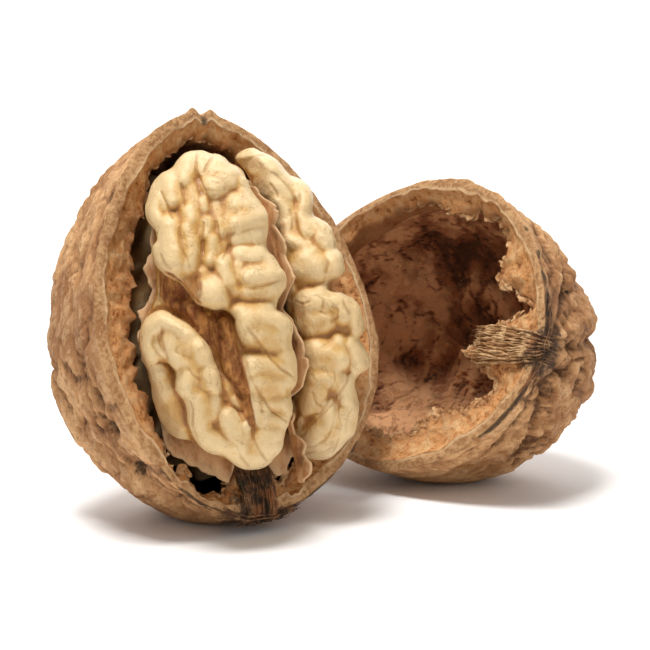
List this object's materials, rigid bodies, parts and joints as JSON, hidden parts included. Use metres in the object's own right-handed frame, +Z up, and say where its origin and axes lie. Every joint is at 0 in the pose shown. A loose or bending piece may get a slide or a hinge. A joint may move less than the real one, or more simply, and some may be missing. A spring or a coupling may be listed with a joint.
{
  "type": "cracked walnut",
  "caption": "Cracked walnut: one shell half holding the folded kernel and its papery partition, with the emptied shell half lying beside it.",
  "frame": {"origin": "middle of the underside of the bounding box, on the surface that both halves rest on", "axes": "+Z up, -Y towards the front view, +X to the right"},
  "size_m": [0.0586, 0.0534, 0.0417],
  "materials": {
    "shell_filled": "dry woody shell, ridged and pitted, matt",
    "shell_empty": "dry woody shell, ridged and pitted, darker inside, matt",
    "kernel": "thin pale skin over folded nut flesh, slightly waxy",
    "kernel_back": "thin skin over folded nut flesh, in shade",
    "partition": "thin papery woody partition, fibrous",
    "web": "thin papery woody web with a torn edge"
  },
  "bodies": {
    "root": {"filled_shell_half": "shell_filled", "empty_shell_half": "shell_empty", "kernel_front": "kernel", "kernel_back": "kernel_back", "septum_sheet": "partition", "septum_web": "web"}
  },
  "joints": []
}
